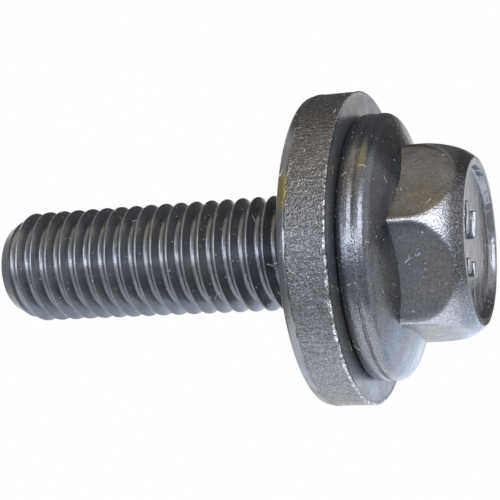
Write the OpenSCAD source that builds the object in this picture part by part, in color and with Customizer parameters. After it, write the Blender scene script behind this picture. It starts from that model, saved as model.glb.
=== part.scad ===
// Hexagon flange bolt with a thick captive washer, standing on its head.
// The origin is the centre of the head's top face, and +Z runs up the shank to the thread's tip.

/* [Thread] */
// Nominal diameter over the thread's crests
thread_d = 12; // [10:0.5:14]
// Distance from one crest of the thread to the next
thread_pitch = 1.75; // [1.25:0.25:2]
// Length from the flange's bearing face to the tip
shank_l = 40.4; // [30:0.2:60]
// Diameter of the flat end of the tip
tip_d = 9; // [7:0.1:9.6]
// Length of the tapered lead at the tip
tip_l = 2.5; // [1.5:0.1:4]
// Rounding of the tip's end edge
tip_round = 0.5; // [0.1:0.05:0.6]

/* [Head] */
// Width across the hexagon's flats
across_flats = 18; // [17:0.1:19]
// Height from the flange's bearing face to the head's top
head_h = 11; // [10:0.1:13]
// Diameter over the hexagon's softened corners
corner_d = 20.7; // [19.9:0.1:20.7]
// Diameter of the flat top face
top_face_d = 16.6; // [15:0.1:17]
// Slope of the rounded crown where it meets the top face, from the axis
crown_angle = 40; // [34:1:50]
// Rounding of the top face's edge
top_round = 0.4; // [0.1:0.05:0.8]

/* [Flange] */
// Diameter of the flange
flange_d = 26.8; // [25:0.1:28.5]
// Height of the flange's rim, up to where the cone begins
rim_h = 2.85; // [2.2:0.05:3.2]
// Slope of the cone from the rim up to the hexagon
cone_angle = 24; // [15:1:28]
// Rounding of the rim's edge beside the washer
rim_low_round = 1; // [0.5:0.05:1.1]
// Rounding of the rim's edge beside the cone
rim_top_round = 0.75; // [0.3:0.05:1]

/* [Neck] */
// Length of plain neck that shows past the washer before the thread begins
washer_float = 0.8; // [0.4:0.1:2]
// Fillet where the neck meets the flange
neck_fillet = 0.6; // [0.3:0.05:0.7]
// Slope of the thread's run-out on the neck, from the axis
runout_angle = 30; // [20:5:45]

/* [Washer] */
// Outside diameter of the washer
washer_d = 31.6; // [29.5:0.1:34]
// Thickness of the washer
washer_t = 4.75; // [3:0.05:6]
// Gap all round between the washer's bore and the neck
bore_clearance = 0.1; // [0.05:0.01:0.1]
// Chamfer at both ends of the bore
bore_chamfer = 0.85; // [0.8:0.05:1.2]
// Rounding of the rolled edge on the thread's side
roll_round = 0.35; // [0.1:0.05:0.8]
// Gap between the washer and the flange
seat_gap = 0.05; // [0.02:0.01:0.1]

/* [Hidden] */
$fn = 96;
finish = "#53555a";
washer_finish = "#6a6b6e";
thread_r = thread_d / 2;
// A rolled thread starts from a blank of about its pitch diameter, and the washer is put on before rolling.
pitch_drop = 0.65;
neck_r = (thread_d - pitch_drop * thread_pitch) / 2;
neck_l = seat_gap + washer_t + washer_float;
runout_l = (thread_r - neck_r) / tan(runout_angle);
bore_r = neck_r + bore_clearance;
flange_r = flange_d / 2;
corner_r = corner_d / 2;
// The crown is one arc, upright at the corners, with a short straight stretch beside the top face's rounding.
crown_straight = 0.1;
crown_h = head_h - (corner_r - top_face_d / 2) / tan(crown_angle);
crown_l = (corner_r - top_face_d / 2) / sin(crown_angle);
top_reach = top_round * tan((90 - crown_angle) / 2);
crown_round = (crown_l - top_reach - crown_straight) / tan(crown_angle / 2);
hex_foot_h = rim_h / 2;
// A rounding's slice overlaps its outline by this share of the way from the chord to the arc's centre.
slice_share = 0.25;
// The cone runs on inside the hexagon to this radius.
core_r = across_flats / 4;
cone_h = rim_h + (flange_r - core_r) * tan(cone_angle);

function unit(v) = v / norm(v);
function turn(a, b) = a[0] * b[1] - a[1] * b[0];
function xy(p) = [p[0], p[1]];
// Corner i of a closed outline, with i taken round the list.
function at(points, i) = points[(i + len(points)) % len(points)];
// Directions from corner i to its two neighbours.
function back(points, i) = unit(xy(at(points, i - 1)) - xy(points[i]));
function ahead(points, i) = unit(xy(at(points, i + 1)) - xy(points[i]));
function half_angle(points, i) = acos(back(points, i) * ahead(points, i)) / 2;
function reach(points, i) = points[i][2] / tan(half_angle(points, i));
function centre(points, i) =
    xy(points[i]) + unit(back(points, i) + ahead(points, i)) * points[i][2] / sin(half_angle(points, i));
function before(points, i) = xy(points[i]) + back(points, i) * reach(points, i);
function after(points, i) = xy(points[i]) + ahead(points, i) * reach(points, i);
function chord_middle(points, i) = (before(points, i) + after(points, i)) / 2;
function behind(points, i) =
    chord_middle(points, i) + (centre(points, i) - chord_middle(points, i)) * slice_share;
function is_convex(points, i) = turn(ahead(points, i), back(points, i)) > 0;
function is_round(points, i) = points[i][2] > 0;

// Slice of the rounding's circle at corner i, between its two tangent points.
module round_slice(points, i) {
    intersection() {
        translate(centre(points, i)) circle(r = points[i][2]);
        polygon([before(points, i), xy(points[i]), after(points, i), behind(points, i)]);
    }
}

// Fills an outline given as [radius, height, rounding], anticlockwise, with an arc at each rounded corner.
module rounded_section(points) {
    corners = [for (i = [0 : len(points) - 1]) i];
    difference() {
        union() {
            polygon([
                for (i = corners)
                    for (p = is_round(points, i)
                        ? [before(points, i), after(points, i)]
                        : [xy(points[i])])
                        p
            ]);
            for (i = corners)
                if (is_round(points, i) && is_convex(points, i))
                    round_slice(points, i);
        }
        for (i = corners)
            if (is_round(points, i) && !is_convex(points, i))
                round_slice(points, i);
    }
}

// Turns a shape that is drawn head up, from the flange's bearing face, onto its head.
module on_head() {
    translate([0, 0, head_h]) rotate([180, 0, 0]) children();
}

// Shank, neck and flange, as one turned form.
module shank_and_flange() {
    rotate_extrude()
        rounded_section([
            [0, -shank_l, 0],
            [tip_d / 2, -shank_l, tip_round],
            [thread_r, tip_l - shank_l, 0],
            [thread_r, -neck_l - runout_l, 0],
            [neck_r, -neck_l, 0],
            [neck_r, 0, neck_fillet],
            [flange_r, 0, rim_low_round],
            [flange_r, rim_h, rim_top_round],
            [core_r, cone_h, 0],
            [0, cone_h, 0]
        ]);
}

// Hexagon with its corners softened and its top turned down to the crown.
module hexagon() {
    intersection() {
        translate([0, 0, hex_foot_h])
            cylinder(h = head_h, d = across_flats / cos(30), $fn = 6);
        rotate_extrude()
            rounded_section([
                [0, hex_foot_h, 0],
                [corner_r, hex_foot_h, 0],
                [corner_r, crown_h, crown_round],
                [top_face_d / 2, head_h, top_round],
                [0, head_h, 0]
            ]);
    }
}

// Forged bolt: hexagon, flange, neck and shank in one piece.
module bolt() {
    color(finish) on_head() {
        shank_and_flange();
        hexagon();
    }
}

// Thick blanked washer, held on the neck by the thread.
module washer() {
    face = -seat_gap - washer_t;
    color(washer_finish) on_head()
        rotate_extrude()
            rounded_section([
                [bore_r, face + bore_chamfer, 0],
                [bore_r + bore_chamfer, face, 0],
                [washer_d / 2, face, roll_round],
                [washer_d / 2, -seat_gap, 0],
                [bore_r + bore_chamfer, -seat_gap, 0],
                [bore_r, -seat_gap - bore_chamfer, 0]
            ]);
}

bolt();
washer();
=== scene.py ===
"""Hexagon flange bolt with a thick captive washer, in oiled black oxide, on a pale floor."""
from math import acos, atan2, cos, pi, radians, sin, tan
import bmesh
import bpy
from mathutils import Matrix, Vector


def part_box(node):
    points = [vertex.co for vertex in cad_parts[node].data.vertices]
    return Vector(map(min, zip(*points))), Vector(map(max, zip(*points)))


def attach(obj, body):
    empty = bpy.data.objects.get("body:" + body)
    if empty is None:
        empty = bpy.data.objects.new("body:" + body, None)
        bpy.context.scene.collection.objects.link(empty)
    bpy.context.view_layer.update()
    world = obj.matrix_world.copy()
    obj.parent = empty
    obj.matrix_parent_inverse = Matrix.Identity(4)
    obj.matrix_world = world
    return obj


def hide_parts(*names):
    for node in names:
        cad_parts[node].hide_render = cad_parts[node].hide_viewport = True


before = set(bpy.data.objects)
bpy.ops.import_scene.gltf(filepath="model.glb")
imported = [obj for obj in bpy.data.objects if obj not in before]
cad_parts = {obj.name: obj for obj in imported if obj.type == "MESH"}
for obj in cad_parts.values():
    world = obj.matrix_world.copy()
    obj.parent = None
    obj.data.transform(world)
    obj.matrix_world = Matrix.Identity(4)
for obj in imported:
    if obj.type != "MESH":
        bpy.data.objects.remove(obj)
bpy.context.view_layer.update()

# Sizes are in millimetres. The pieces are modelled at this scale and brought to metres when finished.
MM = 0.001

# Places taken from the frame
BOLT_HIGH = Vector(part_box("bolt")[1]) / MM
WASHER_LOW, WASHER_HIGH = (Vector(corner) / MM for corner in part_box("washer"))
TIP_Z = BOLT_HIGH.z
FLANGE_R = BOLT_HIGH.x
WASHER_R = WASHER_HIGH.x
SEAT_GAP = 0.05
BEARING_Z = WASHER_LOW.z - SEAT_GAP

# Hexagon head and the dish in its top
ACROSS_FLATS = 18.0
FLAT_EDGE = 0.32
SIDE_STEPS = 18
HEAD_SIDES = 360
CROWN_R = 10.35
CROWN_SLOPE = radians(40)
CROWN_ROUND = 7.98
TOP_FACE_R = 8.3
TOP_ROUND = 0.4
HEX_FOOT_Z = 9.0
DISH_R = 7.6
DISH_DEPTH = 0.8
DISH_MIDDLE = 0.85
DISH_WALL = 0.3
DISH_FOOT_ROUND = 0.3
DISH_LIP_ROUND = 0.2
BAR_WIDTH = 0.6
BAR_SINK = 0.9
BAR_TOP = 0.06
BAR_ROUND = 0.22
# Plain raised bars in the dish: each one's place along X and Y, and its length
BARS = ((5.4, 1.1, 3.2), (1.6, 1.3, 2.8), (4.5, -3.4, 1.5), (1.9, -3.2, 1.5))

# Flange
RIM_H = 2.85
RIM_GROOVE = 0.1
RIM_GROOVE_FROM = 1.3
RIM_GROOVE_DEEPEST = 1.62
RIM_GROOVE_TO = 2.1
RIM_GROOVE_ROUNDS = (0.3, 0.25, 0.4)
CONE_SLOPE = radians(24)
RIM_LOW_ROUND = 0.75
RIM_TOP_ROUND = 0.95
CORE_R = 4.5
BOLT_SIDES = 160

# Neck and thread
PITCH = 1.75
CREST_R = 5.95
CREST_FLAT = PITCH / 8
ROOT_FLAT = PITCH / 4
FLANK_SLOPE = radians(30)
CREST_ROUND = 0.17
ROOT_ROUND = 0.22
ROOT_R = CREST_R - (PITCH - CREST_FLAT - ROOT_FLAT) / 2 / tan(FLANK_SLOPE)
THREAD_SHIFT = 1.54
THREAD_STEPS = 96
# The thread is wound longer and wider than it ends up, and starts inside the neck.
THREAD_SPARE = 0.3
THREAD_UNDER = 0.5
TRIM_INSET = 0.1
NECK_R = 5.43
NECK_FILLET = 0.6
# A ring of edges this far from the neck's end keeps its long faces evenly shaded.
NECK_EDGE = 0.12
# The neck runs on inside the thread, under its root.
PLUG_L = 1.2
PLUG_DROP = 0.3
NECK_END_Z = WASHER_HIGH.z + 0.8
RUNOUT_SLOPE = radians(30)
TIP_R = 4.5
TIP_L = 2.5
TIP_ROUND = 0.5

# Washer
BORE_R = 5.53
BORE_CHAMFER = 0.85
ROLL_L = 0.95
ROLL_DROP = 0.17
ROLL_ROUND = 0.3
ROLL_FOOT = 0.2
ROLL_FOOT_ROUND = 0.8
TEAR_DEPTH = 0.03
TEAR_STEP = 0.16
TEAR_ROUGH = 0.055
TEAR_GRAIN = 0.24
TEAR_CONTRAST = 1.6
TEAR_EDGE = 0.01
BURR_L = 0.14
BURR_ROUND = 0.05
REAR_STEP = 0.12
WASHER_SIDES = 640

# Camera, as the photograph was taken
CAMERA_AT = Vector((129.05, -32.57, -25.94))
CAMERA_AHEAD = Vector((-0.9065, 0.2324, 0.3526))
CAMERA_UP = Vector((0.2278, 0.9722, -0.0549))
FOCAL_PX = 1364.9
IMAGE_PX = 500
SENSOR_MM = 36.0
PICTURE_AHEAD = CAMERA_AHEAD.normalized()
PICTURE_UP = (CAMERA_UP - CAMERA_UP.dot(PICTURE_AHEAD) * PICTURE_AHEAD).normalized()
PICTURE_RIGHT = PICTURE_AHEAD.cross(PICTURE_UP)
STAGE_MIDDLE = Vector((0, 0, 25))


# Modelling helpers

def rounded(corners, steps=6):
    """The line through corners given as (radius, height, rounding), with an arc at each rounded corner."""
    line = [corners[0][:2]]
    for before, here, after in zip(corners, corners[1:], corners[2:]):
        point = Vector(here[:2])
        if not here[2]:
            line.append(tuple(point))
            continue
        back = (Vector(before[:2]) - point).normalized()
        ahead = (Vector(after[:2]) - point).normalized()
        half = acos(max(-1.0, min(1.0, back.dot(ahead)))) / 2
        centre = point + (back + ahead).normalized() * here[2] / sin(half)
        first = point + back * here[2] / tan(half) - centre
        last = point + ahead * here[2] / tan(half) - centre
        sweep = pi - 2 * half
        for step in range(steps + 1):
            share = step / steps
            arm = (first * sin((1 - share) * sweep) + last * sin(share * sweep)) / sin(sweep)
            line.append(tuple(centre + arm))
    line.append(corners[-1][:2])
    return line


def draw_line(name, points):
    """Draws a line by extruding one corner to the next, and leaves it in edit mode."""
    bpy.ops.object.select_all(action="DESELECT")
    bpy.ops.mesh.primitive_plane_add(size=1)
    line = bpy.context.object
    line.name = line.data.name = name
    places = [Vector((radius, 0, height)) for radius, height in points]
    bpy.ops.object.mode_set(mode="EDIT")
    bpy.ops.mesh.select_mode(type="VERT")
    bpy.ops.mesh.select_all(action="SELECT")
    bpy.ops.mesh.merge(type="CENTER")
    bpy.ops.transform.translate(value=places[0])
    for start, end in zip(places, places[1:]):
        bpy.ops.mesh.extrude_vertices_move(TRANSFORM_OT_translate={"value": end - start})
    return line


def close_mesh():
    """Welds the seams and poles of the mesh in edit mode and points its faces outwards."""
    bpy.ops.mesh.select_all(action="SELECT")
    bpy.ops.mesh.remove_doubles(threshold=0.0005)
    bpy.ops.mesh.normals_make_consistent(inside=False)


def turned(name, points, sides):
    """A solid of revolution about the bolt's axis, spun from half of its section."""
    piece = draw_line(name, points)
    bpy.ops.mesh.select_all(action="SELECT")
    bpy.ops.mesh.spin(steps=sides, angle=2 * pi, center=(0, 0, 0), axis=(0, 0, 1))
    close_mesh()
    bpy.ops.object.mode_set(mode="OBJECT")
    return piece


def combine(piece, other, operation):
    """Joins, cuts or trims a piece with another one, which is used up."""
    bpy.ops.object.select_all(action="DESELECT")
    piece.select_set(True)
    bpy.context.view_layer.objects.active = piece
    bpy.ops.object.modifier_add(type="BOOLEAN")
    cut = piece.modifiers[-1]
    cut.operation = operation
    cut.solver = "MANIFOLD"
    cut.object = other
    bpy.ops.object.modifier_apply(modifier=cut.name)
    bpy.data.objects.remove(other, do_unlink=True)


def finish_piece(piece, body, node, smooth_angle=32):
    """Brings a finished piece to metres, shades it and hands it to the frame."""
    bpy.ops.object.select_all(action="DESELECT")
    piece.select_set(True)
    bpy.context.view_layer.objects.active = piece
    piece.scale = (MM, MM, MM)
    bpy.ops.object.transform_apply(location=True, rotation=True, scale=True)
    bpy.ops.object.shade_smooth_by_angle(angle=radians(smooth_angle))
    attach(piece, body)
    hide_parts(node)


# Bolt

def crown_blank():
    """The round blank that the head is pressed from: a dished top, a rounded crown and an upright side."""
    crown_z = (CROWN_R - TOP_FACE_R) / tan(CROWN_SLOPE)
    side_z = crown_z + CROWN_ROUND * tan(CROWN_SLOPE / 2)
    side_step = (HEX_FOOT_Z - side_z) / SIDE_STEPS
    side = [(CROWN_R, side_z + side_step * step, 0) for step in range(1, SIDE_STEPS + 1)]
    return turned("head_blank", rounded([
        (0, DISH_MIDDLE, 0),
        (DISH_R - DISH_WALL, DISH_DEPTH, DISH_FOOT_ROUND),
        (DISH_R, 0, DISH_LIP_ROUND),
        (TOP_FACE_R, 0, TOP_ROUND),
        (CROWN_R, crown_z, CROWN_ROUND),
        *side,
        (0, HEX_FOOT_Z, 0),
    ], steps=22), HEAD_SIDES)


def soft_least(first, second, blend):
    """The lesser of two lengths, rounded off where they are nearly the same."""
    share = max(0.0, min(1.0, 0.5 + (second - first) / blend / 2))
    return second + (first - second) * share - blend * share * (1 - share)


def pressed_radius(radius, turn):
    """How far out a point of the round blank stays when the six flats are pressed into it."""
    for flat in range(6):
        off = cos(turn - radians(30 + 60 * flat))
        if off > 0.5:
            radius = soft_least(radius, ACROSS_FLATS / 2 / off, FLAT_EDGE)
    return radius


def hexagon_head():
    """The head: a round blank with raised bars in its dish, pressed to six flats with soft edges."""
    head = crown_blank()
    for place_x, place_y, length in BARS:
        combine(head, raised_bar(place_x, place_y, length), "UNION")
    bpy.ops.object.mode_set(mode="EDIT")
    mesh = bmesh.from_edit_mesh(head.data)
    for point in mesh.verts:
        radius = point.co.xy.length
        if radius > TOP_FACE_R:
            point.co.xy *= pressed_radius(radius, atan2(point.co.y, point.co.x)) / radius
    bmesh.update_edit_mesh(head.data)
    close_mesh()
    bpy.ops.object.mode_set(mode="OBJECT")
    return head


def raised_bar(place_x, place_y, length):
    """One plain bar with softened edges, rooted in the dish's floor and lower than the head's land."""
    bpy.ops.object.select_all(action="DESELECT")
    bpy.ops.mesh.primitive_cube_add(size=1)
    bar = bpy.context.object
    bpy.ops.object.mode_set(mode="EDIT")
    bpy.ops.mesh.select_all(action="SELECT")
    bpy.ops.transform.resize(value=(BAR_WIDTH, length, BAR_SINK))
    bpy.ops.mesh.bevel(offset=BAR_ROUND, segments=5, affect="EDGES")
    bpy.ops.transform.translate(value=(place_x, place_y, BAR_SINK / 2 + BAR_TOP))
    bpy.ops.object.mode_set(mode="OBJECT")
    return bar


def flange_and_neck():
    """The turned flange with its cone, rounded rim and bearing face, and the neck under the washer."""
    rim_z = BEARING_Z - RIM_H
    cone_z = rim_z - (FLANGE_R - CORE_R) * tan(CONE_SLOPE)
    far_round, deep_round, near_round = RIM_GROOVE_ROUNDS
    return turned("flange_blank", rounded([
        (0, cone_z, 0),
        (CORE_R, cone_z, 0),
        (FLANGE_R, rim_z, RIM_TOP_ROUND),
        (FLANGE_R, BEARING_Z - RIM_GROOVE_TO, far_round),
        (FLANGE_R - RIM_GROOVE, BEARING_Z - RIM_GROOVE_DEEPEST, deep_round),
        (FLANGE_R, BEARING_Z - RIM_GROOVE_FROM, near_round),
        (FLANGE_R, BEARING_Z, RIM_LOW_ROUND),
        (NECK_R, BEARING_Z, NECK_FILLET),
        (NECK_R, NECK_END_Z - NECK_EDGE, 0),
        (NECK_R, NECK_END_Z, 0),
        (ROOT_R - PLUG_DROP, NECK_END_Z + PLUG_L, 0),
        (0, NECK_END_Z + PLUG_L, 0),
    ]), BOLT_SIDES)


def threaded_shank():
    """The rolled thread: one pitch of its section wound up the shank, then trimmed at both ends."""
    rise = CREST_R - ROOT_R
    run = rise * tan(FLANK_SLOPE)
    section = rounded([
        (ROOT_R, 0, 0),
        (ROOT_R, ROOT_FLAT / 2, ROOT_ROUND),
        (CREST_R, ROOT_FLAT / 2 + run, CREST_ROUND),
        (CREST_R, ROOT_FLAT / 2 + run + CREST_FLAT, CREST_ROUND),
        (ROOT_R, PITCH - ROOT_FLAT / 2, ROOT_ROUND),
        (ROOT_R, PITCH, 0),
    ], steps=4)
    start_z = NECK_END_Z - 3 * PITCH + THREAD_SHIFT
    shank = draw_line("thread_blank", [(radius, start_z + height) for radius, height in section])
    bpy.ops.object.mode_set(mode="OBJECT")
    bpy.ops.object.modifier_add(type="SCREW")
    wind = shank.modifiers[-1]
    wind.axis = "Z"
    wind.angle = 2 * pi
    wind.screw_offset = PITCH
    wind.iterations = int((TIP_Z - start_z) / PITCH) + 3
    wind.steps = wind.render_steps = THREAD_STEPS
    bpy.ops.object.modifier_apply(modifier=wind.name)
    bpy.ops.object.mode_set(mode="EDIT")
    close_mesh()
    for height, facing in ((NECK_END_Z - THREAD_UNDER, -1), (TIP_Z + THREAD_SPARE, 1)):
        bpy.ops.mesh.select_all(action="SELECT")
        bpy.ops.mesh.bisect(plane_co=(0, 0, height), plane_no=(0, 0, facing), use_fill=True,
                            clear_outer=True, threshold=0.0001)
    close_mesh()
    bpy.ops.object.mode_set(mode="OBJECT")
    clear_r = CREST_R + THREAD_SPARE
    inner_r = NECK_R - TRIM_INSET
    inner_z = NECK_END_Z - (NECK_R - inner_r) / tan(RUNOUT_SLOPE)
    trim = turned("trim_blank", rounded([
        (0, inner_z, 0),
        (inner_r, inner_z, 0),
        (clear_r, NECK_END_Z + (clear_r - NECK_R) / tan(RUNOUT_SLOPE), 0),
        (clear_r, TIP_Z - TIP_L * (clear_r - TIP_R) / (CREST_R - TIP_R), 0),
        (TIP_R, TIP_Z, TIP_ROUND),
        (0, TIP_Z, 0),
    ]), BOLT_SIDES)
    combine(shank, trim, "INTERSECT")
    return shank


def make_bolt():
    """The forged bolt in one piece."""
    bolt = flange_and_neck()
    combine(bolt, hexagon_head(), "UNION")
    combine(bolt, threaded_shank(), "UNION")
    bolt.name = bolt.data.name = "forged_bolt"
    finish_piece(bolt, "bolt", "bolt")
    return bolt


def roughen(piece, name, chosen, depth, grain):
    """Pushes the chosen points of a mesh in by a fine random depth."""
    group = piece.vertex_groups.new(name=name)
    group.add([point.index for point in piece.data.vertices if chosen(point.co)], 1.0, "REPLACE")
    clouds = bpy.data.textures.new(name, "CLOUDS")
    clouds.noise_scale = grain
    clouds.noise_depth = 2
    clouds.contrast = TEAR_CONTRAST
    bpy.ops.object.modifier_add(type="DISPLACE")
    push = piece.modifiers[-1]
    push.texture = clouds
    push.texture_coords = "LOCAL"
    push.vertex_group = name
    push.mid_level = 1.0
    push.strength = depth
    bpy.ops.object.modifier_apply(modifier=push.name)
    piece.vertex_groups.clear()


def make_washer():
    """The blanked washer: a rolled edge towards the thread, then a torn rim that ends in a small burr."""
    tear_top = WASHER_HIGH.z - ROLL_L
    tear_end = WASHER_LOW.z + BURR_L
    steps = int((tear_top - tear_end) / TEAR_STEP)
    tear_step = (tear_top - tear_end) / steps
    tear = [(WASHER_R - TEAR_DEPTH, tear_top - tear_step * (step + 0.5), 0) for step in range(steps)]
    washer = turned("blanked_washer", rounded([
        (BORE_R, WASHER_HIGH.z - BORE_CHAMFER, 0),
        (BORE_R + BORE_CHAMFER, WASHER_HIGH.z, 0),
        (WASHER_R - ROLL_DROP, WASHER_HIGH.z, ROLL_ROUND),
        (WASHER_R, tear_top + ROLL_FOOT, ROLL_FOOT_ROUND),
        (WASHER_R, tear_top, 0),
        *tear,
        (WASHER_R, tear_end, 0),
        (WASHER_R, WASHER_LOW.z, BURR_ROUND),
        (WASHER_R - REAR_STEP, WASHER_LOW.z, 0),
        (WASHER_R - 2 * REAR_STEP, WASHER_LOW.z, 0),
        (BORE_R + BORE_CHAMFER, WASHER_LOW.z, 0),
        (BORE_R, WASHER_LOW.z + BORE_CHAMFER, 0),
        (BORE_R, WASHER_HIGH.z - BORE_CHAMFER, 0),
    ]), WASHER_SIDES)
    roughen(washer, "tear", lambda point: point.xy.length > WASHER_R - 2 * TEAR_DEPTH
            and tear_end + TEAR_EDGE < point.z < tear_top - TEAR_EDGE, TEAR_ROUGH, TEAR_GRAIN)
    roughen(washer, "burr", lambda point: point.xy.length > WASHER_R - 2 * BURR_ROUND
            and point.z <= tear_end + TEAR_EDGE, TEAR_ROUGH, TEAR_GRAIN)
    finish_piece(washer, "washer", "washer")
    return washer


# Finishes

PER_MM = 1 / MM
DUST_COLOUR = (0.44, 0.44, 0.43)
# Lint: one fibre at most in a cell of this size, with its half length, half width and curve
LINT_CELL = 1.8
LINT_REACH = 0.45
LINT_WIDTH = 0.06
LINT_BEND = 0.8


def feed(tree, socket, value):
    """Gives an input of a node a value, or a link from another node."""
    if isinstance(value, bpy.types.NodeSocket):
        tree.links.new(value, socket)
    else:
        socket.default_value = value


def put(tree, kind, inputs=None, **settings):
    """Adds a node, sets its options, and gives each input a value or a link."""
    node = tree.nodes.new("ShaderNode" + kind)
    for name, value in settings.items():
        setattr(node, name, value)
    for key, value in (inputs or {}).items():
        feed(tree, node.inputs[key], value)
    return node


def calc(tree, operation, first, second=0.0):
    """One sum on values."""
    return put(tree, "Math", {0: first, 1: second}, operation=operation).outputs["Value"]


def times(tree, first, second):
    """Two values multiplied, or where two masks both hold."""
    return calc(tree, "MULTIPLY", first, second)


def plus(tree, first, second):
    """Two values added."""
    return calc(tree, "ADD", first, second)


def most(tree, first, second):
    """The larger of two values, or where either of two masks holds."""
    return calc(tree, "MAXIMUM", first, second)


def fade(tree, value, start, end):
    """0 up to start, 1 past end, and smooth between them; falling where start is the larger."""
    inputs = {"Value": value, "From Min": start, "From Max": end}
    return put(tree, "MapRange", inputs, interpolation_type="SMOOTHSTEP").outputs["Result"]


def span(tree, value, low, low_in, high_in, high):
    """1 between low_in and high_in, fading to 0 at low and high."""
    return times(tree, fade(tree, value, low, low_in), fade(tree, value, high, high_in))


def spread(tree, value, low, high):
    """Brings a value from 0 to 1 to the range from low to high."""
    return put(tree, "MapRange", {"Value": value, "To Min": low, "To Max": high}).outputs["Result"]


def blend_colour(tree, share, first, second, blend_type="MIX"):
    """Mixes two colours."""
    node = put(tree, "Mix", {0: share}, data_type="RGBA", blend_type=blend_type)
    for key, colour in ((6, first), (7, second)):
        feed(tree, node.inputs[key], (*colour, 1) if isinstance(colour, tuple) else colour)
    return node.outputs[2]


def noise(tree, place, size_mm, detail=2.0, roughness=0.5, distortion=0.0):
    """Noise with features of about this size, as a value."""
    inputs = {"Vector": place, "Scale": PER_MM / size_mm, "Detail": detail, "Roughness": roughness,
              "Distortion": distortion}
    return put(tree, "TexNoise", inputs).outputs["Fac"]


def new_group(name, inputs, outputs):
    """An empty shader group with named sockets."""
    tree = bpy.data.node_groups.new(name, "ShaderNodeTree")
    for kind, sockets in (("INPUT", inputs), ("OUTPUT", outputs)):
        for socket, socket_type in sockets:
            tree.interface.new_socket(name=socket, in_out=kind, socket_type="NodeSocket" + socket_type)
    return tree, tree.nodes.new("NodeGroupInput").outputs, tree.nodes.new("NodeGroupOutput").inputs


def use_group(tree, group, inputs):
    """Places a group in a material."""
    return put(tree, "Group", inputs, node_tree=group).outputs


def make_turned_place():
    """Where a point lies on a turned piece: radius and height in millimetres, and turn about the axis."""
    tree, given, result = new_group("turned_place", [("Position", "Vector")],
                                    [("Radius", "Float"), ("Height", "Float"), ("Turn", "Float")])
    split = put(tree, "SeparateXYZ", {"Vector": given["Position"]}).outputs
    flat = put(tree, "CombineXYZ", {"X": split["X"], "Y": split["Y"]}).outputs["Vector"]
    length = put(tree, "VectorMath", {0: flat}, operation="LENGTH").outputs["Value"]
    tree.links.new(times(tree, length, PER_MM), result["Radius"])
    tree.links.new(times(tree, split["Z"], PER_MM), result["Height"])
    tree.links.new(calc(tree, "ARCTAN2", split["Y"], split["X"]), result["Turn"])
    return tree


def make_steel_grain():
    """Grain of torn or forged steel: a height of small sharp facets, and a mask of flecks on it, painted as
    glints on the bolt's crown and the burr and as grain tone on the torn rim.
    """
    tree, given, result = new_group("steel_grain", [("Position", "Vector"), ("Per Millimetre", "Float")],
                                    [("Height", "Float"), ("Flecks", "Float")])
    here = given["Position"]
    scale = times(tree, given["Per Millimetre"], PER_MM)
    facets = put(tree, "TexVoronoi", {"Vector": here, "Scale": scale}, feature="F1").outputs["Distance"]
    soft = put(tree, "TexNoise", {"Vector": here, "Scale": scale, "Detail": 1.0}).outputs["Fac"]
    tree.links.new(plus(tree, times(tree, facets, 0.3), soft), result["Height"])
    tree.links.new(fade(tree, soft, 0.42, 0.7), result["Flecks"])
    return tree


def make_oil_film():
    """The oil's thin film: a tint that drifts between blue and straw, and its darker smears."""
    tree, given, result = new_group("oil_film", [("Position", "Vector")],
                                    [("Tint", "Color"), ("Smear", "Float")])
    drift = noise(tree, given["Position"], 5.0, detail=3.0, distortion=0.6)
    ramp = put(tree, "ValToRGB", {"Fac": drift})
    stops = ramp.color_ramp.elements
    stops[0].position, stops[0].color = 0.30, (0.88, 0.95, 1.08, 1)
    stops[1].position, stops[1].color = 0.72, (1.08, 1.02, 0.88, 1)
    for place, colour in ((0.45, (0.96, 0.99, 1.03, 1)), (0.58, (1.0, 1.0, 0.98, 1))):
        stop = stops.new(place)
        stop.color = colour
    tree.links.new(ramp.outputs["Color"], result["Tint"])
    smear = noise(tree, given["Position"], 2.2, detail=4.0, roughness=0.6)
    tree.links.new(fade(tree, smear, 0.35, 0.7), result["Smear"])
    return tree


def make_dust():
    """Sparse pale specks of dust that cling to the oil."""
    tree, given, result = new_group("dust", [("Position", "Vector"), ("Amount", "Float")],
                                    [("Mask", "Float")])
    cells = put(tree, "TexVoronoi", {"Vector": given["Position"], "Scale": PER_MM / 0.6, "Randomness": 1.0})
    shade = put(tree, "SeparateXYZ", {"Vector": cells.outputs["Color"]}).outputs
    size = spread(tree, shade["Y"], 0.08, 0.19)
    near = times(tree, calc(tree, "SUBTRACT", size, cells.outputs["Distance"]), 14.0)
    near = put(tree, "Clamp", {"Value": near}).outputs["Result"]
    drifts = fade(tree, noise(tree, given["Position"], 4.0, detail=2.0), 0.3, 0.6)
    chosen = calc(tree, "GREATER_THAN", times(tree, given["Amount"], drifts), shade["X"])
    tree.links.new(times(tree, near, chosen), result["Mask"])
    return tree


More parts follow.
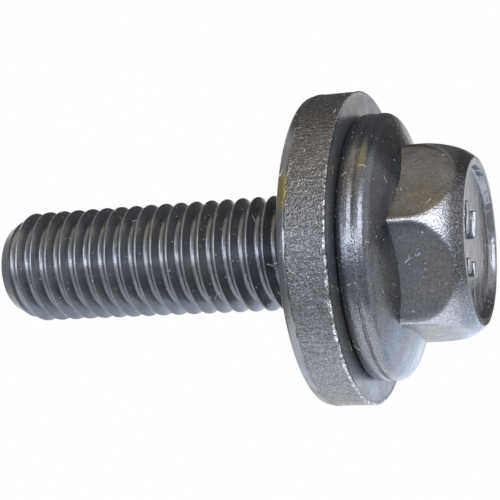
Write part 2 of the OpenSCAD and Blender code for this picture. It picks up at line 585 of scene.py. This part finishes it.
def make_lint():
    """A few short, slightly curved pale fibres that lie on the surface, one at most in each cell."""
    tree, given, result = new_group("lint", [("Position", "Vector"), ("Normal", "Vector"),
                                             ("Amount", "Float")], [("Mask", "Float")])
    normal = given["Normal"]

    def vector(operation, first, second, output="Vector"):
        return put(tree, "VectorMath", {0: first, 1: second}, operation=operation).outputs[output]

    cells = put(tree, "TexVoronoi", {"Vector": given["Position"], "Scale": PER_MM / LINT_CELL}).outputs
    middle = cells["Position"]
    offset = vector("MULTIPLY", vector("SUBTRACT", given["Position"], middle), (PER_MM, PER_MM, PER_MM))

    # The fibre's direction: any, brought down to the surface
    lie = vector("SUBTRACT", cells["Color"], (0.5, 0.5, 0.5))
    lift = {0: normal, "Scale": vector("DOT_PRODUCT", lie, normal, "Value")}
    lie = vector("SUBTRACT", lie, put(tree, "VectorMath", lift, operation="SCALE").outputs["Vector"])
    lie = put(tree, "VectorMath", {0: lie}, operation="NORMALIZE").outputs["Vector"]

    along = vector("DOT_PRODUCT", offset, lie, "Value")
    beside = vector("DOT_PRODUCT", offset, vector("CROSS_PRODUCT", normal, lie), "Value")
    chance = put(tree, "TexWhiteNoise", {"Vector": middle}).outputs
    bend = put(tree, "SeparateXYZ", {"Vector": chance["Color"]}).outputs["Y"]
    curve = times(tree, spread(tree, bend, -LINT_BEND, LINT_BEND), times(tree, along, along))
    off = calc(tree, "ABSOLUTE", calc(tree, "SUBTRACT", beside, curve))
    near = fade(tree, off, LINT_WIDTH, LINT_WIDTH / 2)
    within = fade(tree, calc(tree, "ABSOLUTE", along), LINT_REACH, LINT_REACH * 0.8)
    chosen = calc(tree, "LESS_THAN", chance["Value"], given["Amount"])
    tree.links.new(times(tree, times(tree, near, within), chosen), result["Mask"])
    return tree


def new_material(name):
    """An empty node material with its Principled shader."""
    material = bpy.data.materials.new(name)
    material.use_nodes = True
    return material, material.node_tree, material.node_tree.nodes["Principled BSDF"]


def bolt_oxide(groups):
    """Oiled black oxide on forged and rolled steel: smooth on the thread, grainy on the crown and rim."""
    material, tree, shader = new_material("bolt_oxide")
    coordinates = put(tree, "TexCoord").outputs
    here, facing = coordinates["Object"], coordinates["Normal"]
    place = use_group(tree, groups["place"], {"Position": here})
    radius, height, turn = place["Radius"], place["Height"], place["Turn"]
    film = use_group(tree, groups["film"], {"Position": here})
    grain = use_group(tree, groups["grain"], {"Position": here, "Per Millimetre": 5.5})

    # How far out the point lies across the nearest flat of the hexagon
    across = 0.0
    for angle in (30, 90, 150):
        flat_way = (cos(radians(angle)) * PER_MM, sin(radians(angle)) * PER_MM, 0)
        reach = put(tree, "VectorMath", {0: here, 1: flat_way}, operation="DOT_PRODUCT").outputs["Value"]
        across = most(tree, across, calc(tree, "ABSOLUTE", reach))

    # Where on the bolt the point lies, each place as a mask
    on_thread = fade(tree, height, WASHER_HIGH.z - 0.5, WASHER_HIGH.z)
    on_flange = fade(tree, radius, 10.4, 10.8)
    on_flat = fade(tree, across, ACROSS_FLATS / 2 - 0.1, ACROSS_FLATS / 2 - 0.02)
    off_flat = calc(tree, "SUBTRACT", 1.0, on_flat)
    on_head = fade(tree, height, HEX_FOOT_Z, HEX_FOOT_Z - 0.6)
    on_crown = span(tree, radius, TOP_FACE_R - 0.3, TOP_FACE_R, CROWN_R, CROWN_R + 0.3)
    on_crown = times(tree, on_crown, times(tree, on_head, off_flat))
    inner_crown = times(tree, on_crown, fade(tree, radius, 9.4, 8.9))
    corner = fade(tree, radius, 8.9, 9.8)
    on_rim = fade(tree, radius, FLANGE_R - 1.1, FLANGE_R - 0.5)
    on_rim = times(tree, on_rim, fade(tree, height, NECK_END_Z, BEARING_Z))
    on_cone = span(tree, radius, 9.6, 10.4, FLANGE_R - 1.0, FLANGE_R - 0.5)
    on_cone = times(tree, on_cone, fade(tree, height, BEARING_Z - 1.5, BEARING_Z - 2.5))
    on_top = fade(tree, radius, DISH_R + 0.05, DISH_R - 0.1)
    on_top = times(tree, on_top, fade(tree, height, 1.2, 1.0))
    on_bar = fade(tree, height, 0.3, 0.2)
    on_bar = times(tree, on_bar, fade(tree, radius, DISH_R - 1.0, DISH_R - 1.2))
    rough_skin = most(tree, on_crown, times(tree, on_rim, 0.15))

    # Dust, more of it on the thread and the flange, and a little lint
    specks = {"Position": here, "Amount": spread(tree, most(tree, on_thread, on_flange), 1.0, 1.5)}
    fibres = {"Position": here, "Normal": facing, "Amount": spread(tree, on_thread, 0.09, 0.05)}
    dust = most(tree, use_group(tree, groups["dust"], specks)["Mask"],
                use_group(tree, groups["lint"], fibres)["Mask"])

    # The oxide's colour, with painted shade on the cone's upper side and on the inner crown away from its
    # lower side, a darker tone on the rim, and mottled on the flats
    steel = blend_colour(tree, film["Smear"], (0.135, 0.139, 0.150), (0.165, 0.168, 0.178))
    steel = blend_colour(tree, 1.0, steel, film["Tint"], "MULTIPLY")
    painted_shade_dull_rim = most(tree, times(tree, on_cone, fade(tree, turn, -0.5, -0.1)),
                  times(tree, inner_crown, fade(tree, turn, -0.95, -0.6)))
    painted_shade_dull_rim = most(tree, painted_shade_dull_rim, times(tree, on_rim, 0.3))
    steel = blend_colour(tree, times(tree, painted_shade_dull_rim, 0.85), steel, (0.065, 0.066, 0.072))
    mottle = fade(tree, noise(tree, here, 0.2, detail=4.0, roughness=0.7), 0.3, 0.7)
    mottled = blend_colour(tree, 1.0, steel, spread(tree, mottle, 0.45, 1.55), "MULTIPLY")
    steel = blend_colour(tree, spread(tree, on_flat, 0.15, 0.6), steel, mottled)

    # Painted shade on the thread beside the washer and on its lower side
    below = span(tree, turn, -2.6, -2.0, -0.85, -0.55)
    painted_shade_thread = times(tree, on_thread, most(tree, fade(tree, height, 23.0, 17.0), times(tree, below, 0.8)))
    steel = blend_colour(tree, times(tree, painted_shade_thread, 0.6), steel, (0.05, 0.05, 0.054))
    # Painted light on the thread's front towards the lens and on its tip
    painted_light_front_tip = times(tree, span(tree, turn, -0.62, -0.5, -0.3, -0.15), fade(tree, height, 20.0, 24.0))
    painted_light_front_tip = most(tree, painted_light_front_tip, fade(tree, height, TIP_Z - 4.0, TIP_Z - 2.0))
    steel = blend_colour(tree, times(tree, painted_light_front_tip, 0.4), steel, (0.25, 0.255, 0.27))
    # Painted highlights on the crown near its corners, on the bars and in the dish
    painted_highlight = most(tree, most(tree, times(tree, on_crown, corner), on_bar), times(tree, on_top, 0.7))
    steel = blend_colour(tree, painted_highlight, steel, (0.25, 0.25, 0.27))
    # Painted reflection: a straw tint on the upper side of the rim's top
    painted_warm_reflection = times(tree, span(tree, height, 8.1, 8.4, 9.1, 9.4), fade(tree, radius, 12.4, 12.9))
    painted_warm_reflection = times(tree, span(tree, turn, 0.30, 0.38, 0.48, 0.60), painted_warm_reflection)
    steel = blend_colour(tree, times(tree, painted_warm_reflection, 0.8), steel, (0.16, 0.153, 0.10))
    # Painted glints: lighter flecks in the grain of the crown, most near its corners, and faintly on the
    # rim
    painted_glints = times(tree, times(tree, rough_skin, spread(tree, corner, 0.35, 1.0)), grain["Flecks"])
    steel = blend_colour(tree, painted_glints, steel, (0.40, 0.40, 0.43))
    steel = blend_colour(tree, dust, steel, DUST_COLOUR)
    tree.links.new(steel, shader.inputs["Base Color"])
    tree.links.new(spread(tree, dust, 0.92, 0.0), shader.inputs["Metallic"])

    pitted = noise(tree, here, 0.35, detail=4.0, roughness=0.65)
    gloss = plus(tree, spread(tree, film["Smear"], 0.29, 0.17), times(tree, pitted, 0.06))
    gloss = plus(tree, gloss, times(tree, on_thread, 0.05))
    gloss = calc(tree, "SUBTRACT", gloss, times(tree, on_rim, 0.06))
    tree.links.new(plus(tree, gloss, times(tree, dust, 0.4)), shader.inputs["Roughness"])
    shader.inputs["Coat Weight"].default_value = 0.25
    shader.inputs["Coat Roughness"].default_value = 0.16

    # The skin's fine relief: grain, pits, rings round the rim, soft waves, and press marks in the dish
    rings = put(tree, "CombineXYZ", {"X": radius, "Y": height, "Z": turn}).outputs["Vector"]
    rings = put(tree, "TexNoise", {"Vector": rings, "Scale": 3.0, "Detail": 3.0}).outputs["Fac"]
    drawn_out = {0: here, 1: (PER_MM, 0.3 * PER_MM, PER_MM)}
    press_marks = put(tree, "VectorMath", drawn_out, operation="MULTIPLY").outputs["Vector"]
    press_marks = put(tree, "TexNoise", {"Vector": press_marks, "Scale": 1.1, "Detail": 2.0}).outputs["Fac"]
    skin = times(tree, grain["Height"], spread(tree, rough_skin, 0.08, 0.55))
    skin = plus(tree, skin, times(tree, pitted, spread(tree, on_thread, 0.22, 0.08)))
    skin = plus(tree, skin, times(tree, times(tree, rings, on_rim), 0.22))
    skin = plus(tree, skin, times(tree, noise(tree, here, 3.0, detail=1.0), 1.3))
    skin = plus(tree, skin, times(tree, spread(tree, press_marks, -1.5, 1.5), on_top))
    skin = plus(tree, skin, dust)
    bump = put(tree, "Bump", {"Height": skin, "Distance": 0.11 * MM, "Strength": 1.0})
    tree.links.new(bump.outputs["Normal"], shader.inputs["Normal"])
    return material


def washer_oxide(groups):
    """Black oxide on a blanked washer: a smooth rolled edge, a torn and streaked rim, and a burr with a
    painted highlight.
    """
    material, tree, shader = new_material("washer_oxide")
    coordinates = put(tree, "TexCoord").outputs
    here, facing = coordinates["Object"], coordinates["Normal"]
    place = use_group(tree, groups["place"], {"Position": here})
    radius, height, turn = place["Radius"], place["Height"], place["Turn"]
    film = use_group(tree, groups["film"], {"Position": here})
    grain = use_group(tree, groups["grain"], {"Position": here, "Per Millimetre": 4.8})

    # Dust and lint, more of both on the face towards the flange
    on_rear = fade(tree, height, WASHER_LOW.z + 0.1, WASHER_LOW.z + 0.02)
    specks = {"Position": here, "Amount": spread(tree, on_rear, 0.8, 1.4)}
    fibres = {"Position": here, "Normal": facing, "Amount": spread(tree, on_rear, 0.08, 0.2)}
    dust = most(tree, use_group(tree, groups["dust"], specks)["Mask"],
                use_group(tree, groups["lint"], fibres)["Mask"])

    # Where the rim is rolled, torn and burred, along uneven lines
    tear_z = WASHER_HIGH.z - ROLL_L
    wave = times(tree, calc(tree, "SUBTRACT", noise(tree, here, 1.2, detail=3.0), 0.5), 0.5)
    level = plus(tree, height, wave)
    on_rim = fade(tree, radius, WASHER_R - 0.5, WASHER_R - 0.15)
    torn = times(tree, on_rim, fade(tree, level, tear_z + 0.12, tear_z - 0.1))
    burr = times(tree, on_rim, fade(tree, level, WASHER_LOW.z + 0.34, WASHER_LOW.z + 0.14))
    burr = times(tree, burr, fade(tree, noise(tree, here, 0.5), 0.42, 0.58))
    burr = times(tree, burr, spread(tree, fade(tree, turn, 0.4, 0.15), 0.25, 1.0))
    rolled = fade(tree, radius, WASHER_R - 0.5, WASHER_R - 0.25)
    rolled = times(tree, rolled, fade(tree, level, tear_z, tear_z + 0.15))
    # Painted reflection: a gold patch on the rolled edge, on one side
    painted_warm_reflection = times(tree, rolled, span(tree, turn, -0.03, 0.06, 0.16, 0.27))
    streaks = {"X": times(tree, turn, WASHER_R), "Y": times(tree, height, 0.12)}
    streaks = put(tree, "CombineXYZ", streaks).outputs["Vector"]
    streaks = put(tree, "TexNoise", {"Vector": streaks, "Scale": 4.0, "Detail": 4.0, "Roughness": 0.6})
    streaks = streaks.outputs["Fac"]

    steel = blend_colour(tree, film["Smear"], (0.15, 0.152, 0.158), (0.185, 0.186, 0.192))
    steel = blend_colour(tree, 1.0, steel, film["Tint"], "MULTIPLY")
    drawn = blend_colour(tree, grain["Flecks"], (0.09, 0.09, 0.093), (0.185, 0.185, 0.192))
    streaked = spread(tree, fade(tree, streaks, 0.3, 0.7), 0.7, 1.3)
    drawn = blend_colour(tree, 1.0, drawn, streaked, "MULTIPLY")
    # Painted light and shade: the torn rim darker where it faces the lens and lighter around the rest
    painted_rim_light = most(tree, fade(tree, turn, -0.1, 0.6), fade(tree, turn, -0.5, -1.0))
    drawn = blend_colour(tree, 1.0, drawn, spread(tree, painted_rim_light, 0.83, 1.19), "MULTIPLY")
    steel = blend_colour(tree, times(tree, torn, 0.85), steel, drawn)
    steel = blend_colour(tree, painted_warm_reflection, steel, (0.27, 0.215, 0.11))
    # Painted highlight: a bright line on the burr, strongest on its lower side
    painted_burr_highlight = times(tree, burr, spread(tree, grain["Flecks"], 0.35, 1.0))
    steel = blend_colour(tree, painted_burr_highlight, steel, (0.78, 0.78, 0.78))
    steel = blend_colour(tree, dust, steel, DUST_COLOUR)
    tree.links.new(steel, shader.inputs["Base Color"])
    bare = calc(tree, "SUBTRACT", 0.92, times(tree, on_rear, 0.18))
    tree.links.new(times(tree, bare, spread(tree, dust, 1.0, 0.0)), shader.inputs["Metallic"])
    off_rim = calc(tree, "SUBTRACT", 1.0, on_rim)
    gloss = plus(tree, spread(tree, film["Smear"], 0.26, 0.14), times(tree, off_rim, 0.14))
    tree.links.new(plus(tree, gloss, times(tree, dust, 0.4)), shader.inputs["Roughness"])
    shader.inputs["Coat Weight"].default_value = 0.15
    shader.inputs["Coat Roughness"].default_value = 0.2

    skin = times(tree, grain["Height"], spread(tree, torn, 0.06, 1.25))
    skin = plus(tree, skin, times(tree, times(tree, streaks, torn), 1.2))
    skin = plus(tree, skin, dust)
    bump = put(tree, "Bump", {"Height": skin, "Distance": 0.075 * MM, "Strength": 1.0})
    tree.links.new(bump.outputs["Normal"], shader.inputs["Normal"])
    return material


def dress(piece, material):
    """Gives a piece its one material."""
    piece.data.materials.clear()
    piece.data.materials.append(material)


# Stage

# The floor is open where the head's dish stands over it, and wide enough to fill any view.
FLOOR_HOLE_R = DISH_R - 0.4
FLOOR_SPREAD = 180
FLOOR_DROP = 0.05
# How bright the white world is where it only lights the bolt
WORLD_AS_LIGHT = 0.4


def stage_card(name, place, size, level):
    """A plain glowing card that faces the bolt and only shows in reflections."""
    bpy.ops.object.select_all(action="DESELECT")
    bpy.ops.mesh.primitive_plane_add(size=size * MM, location=(STAGE_MIDDLE + place) * MM)
    card = bpy.context.object
    card.name = card.data.name = name
    card.rotation_euler = (-place).to_track_quat("Z", "Y").to_euler()
    card.visible_camera = False
    card.visible_shadow = False
    material, _, shader = new_material(name)
    shader.inputs["Base Color"].default_value = (0, 0, 0, 1)
    shader.inputs["Specular IOR Level"].default_value = 0
    shader.inputs["Emission Color"].default_value = (*level, 1)
    shader.inputs["Emission Strength"].default_value = 1
    dress(card, material)


def make_floor():
    """A pale floor under the head, open under its top face and clear when looked at from below."""
    bpy.ops.object.select_all(action="DESELECT")
    bpy.ops.mesh.primitive_circle_add(vertices=96, radius=FLOOR_HOLE_R * MM,
                                      location=(0, 0, -FLOOR_DROP * MM))
    floor = bpy.context.object
    floor.name = floor.data.name = "floor"
    bpy.ops.object.mode_set(mode="EDIT")
    bpy.ops.mesh.select_all(action="SELECT")
    bpy.ops.mesh.extrude_edges_move()
    bpy.ops.transform.resize(value=(FLOOR_SPREAD, FLOOR_SPREAD, 1))
    bpy.ops.mesh.select_all(action="SELECT")
    bpy.ops.mesh.normals_make_consistent(inside=False)
    bpy.ops.object.mode_set(mode="OBJECT")
    if floor.data.polygons[0].normal.z < 0:
        floor.data.flip_normals()
    floor.visible_shadow = False
    floor.visible_glossy = False
    material, tree, shader = new_material("pale_floor")
    shader.inputs["Base Color"].default_value = (0.85, 0.85, 0.85, 1)
    shader.inputs["Roughness"].default_value = 0.9
    from_below = put(tree, "NewGeometry").outputs["Backfacing"]
    clear = put(tree, "BsdfTransparent").outputs["BSDF"]
    seen = put(tree, "MixShader", {"Fac": from_below, 1: shader.outputs["BSDF"], 2: clear})
    tree.links.new(seen.outputs["Shader"], tree.nodes["Material Output"].inputs["Surface"])
    dress(floor, material)


def make_world():
    """White to the camera and in reflections, softer as light."""
    world = bpy.data.worlds.new("studio")
    bpy.context.scene.world = world
    world.use_nodes = True
    tree = world.node_tree
    rays = put(tree, "LightPath").outputs
    seen = most(tree, rays["Is Camera Ray"], rays["Is Glossy Ray"])
    seen = most(tree, seen, rays["Is Transmission Ray"])
    background = tree.nodes["Background"]
    background.inputs["Color"].default_value = (1, 1, 1, 1)
    tree.links.new(spread(tree, seen, WORLD_AS_LIGHT, 1.0), background.inputs["Strength"])


def around(angle, distance):
    """A place beside the bolt, turned by this angle in degrees from the lens up over the bolt."""
    return (PICTURE_UP * sin(radians(angle)) - PICTURE_AHEAD * cos(radians(angle))) * distance


def lamp(name, place, size, level, colour):
    """A square-cornered soft lamp aimed at the bolt's middle, as bright as a card of this level."""
    light = bpy.data.lights.new(name, "AREA")
    light.shape = "RECTANGLE"
    light.size = size[0] * MM
    light.size_y = size[1] * MM
    light.energy = level * light.size * light.size_y * pi
    light.color = colour
    holder = bpy.data.objects.new(name, light)
    bpy.context.collection.objects.link(holder)
    holder.location = (STAGE_MIDDLE + place) * MM
    away = place.normalized()
    across = PICTURE_RIGHT - PICTURE_RIGHT.dot(away) * away
    across.normalize()
    holder.rotation_euler = Matrix((across, away.cross(across), away)).transposed().to_euler()


def make_lights():
    """A large soft lamp below the bolt as the picture shows it, one left of the lens and one above it."""
    lamp("soft_lamp", around(-92, 330), (700, 540), 1.0, (0.92, 1.0, 1.15))
    lamp("side_lamp", around(5, 300) - PICTURE_RIGHT * 255, (230, 115), 5.6, (0.95, 1.0, 1.10))
    lamp("lens_lamp", around(22, 300) + PICTURE_RIGHT * 10, (260, 240), 4.0, (0.97, 1.0, 1.06))


def make_cards():
    """Cards that the steel mirrors: dim behind the lens and to the left, warm above, dark above the back,
    pale behind, and a small dark one beside the head."""
    stage_card("front_card", around(-5, 560), 1200, (0.52, 0.54, 0.59))
    stage_card("warm_card", around(70, 420) - PICTURE_RIGHT * 120, 500, (0.98, 0.84, 0.66))
    stage_card("back_card", around(122, 430) + PICTURE_RIGHT * 120, 760, (0.13, 0.13, 0.13))
    stage_card("pale_card", Vector((-114, -55, -33)) - STAGE_MIDDLE, 150, (1.45, 1.60, 1.87))
    stage_card("left_card", -PICTURE_RIGHT * 450 + PICTURE_AHEAD * 60, 720, (0.40, 0.41, 0.435))
    stage_card("shade_card", Vector((-15.5, -3.5, -2.8)) - STAGE_MIDDLE, 7, (0.10, 0.085, 0.075))


def make_camera():
    """The photograph's own view: the bolt lies across the picture with its head towards the lens."""
    lens = bpy.data.cameras.new("camera")
    lens.sensor_width = SENSOR_MM
    lens.lens = FOCAL_PX / IMAGE_PX * SENSOR_MM
    lens.clip_start = 1 * MM
    camera = bpy.data.objects.new("camera", lens)
    bpy.context.collection.objects.link(camera)
    turn = Matrix((PICTURE_RIGHT, PICTURE_UP, -PICTURE_AHEAD)).transposed().to_4x4()
    camera.matrix_world = Matrix.Translation(CAMERA_AT * MM) @ turn
    bpy.context.scene.camera = camera


bolt = make_bolt()
washer = make_washer()
groups = {
    "place": make_turned_place(),
    "grain": make_steel_grain(),
    "film": make_oil_film(),
    "dust": make_dust(),
    "lint": make_lint(),
}
dress(bolt, bolt_oxide(groups))
dress(washer, washer_oxide(groups))

make_camera()
make_world()
make_lights()
make_floor()
make_cards()

bpy.context.scene.view_settings.view_transform = "Standard"
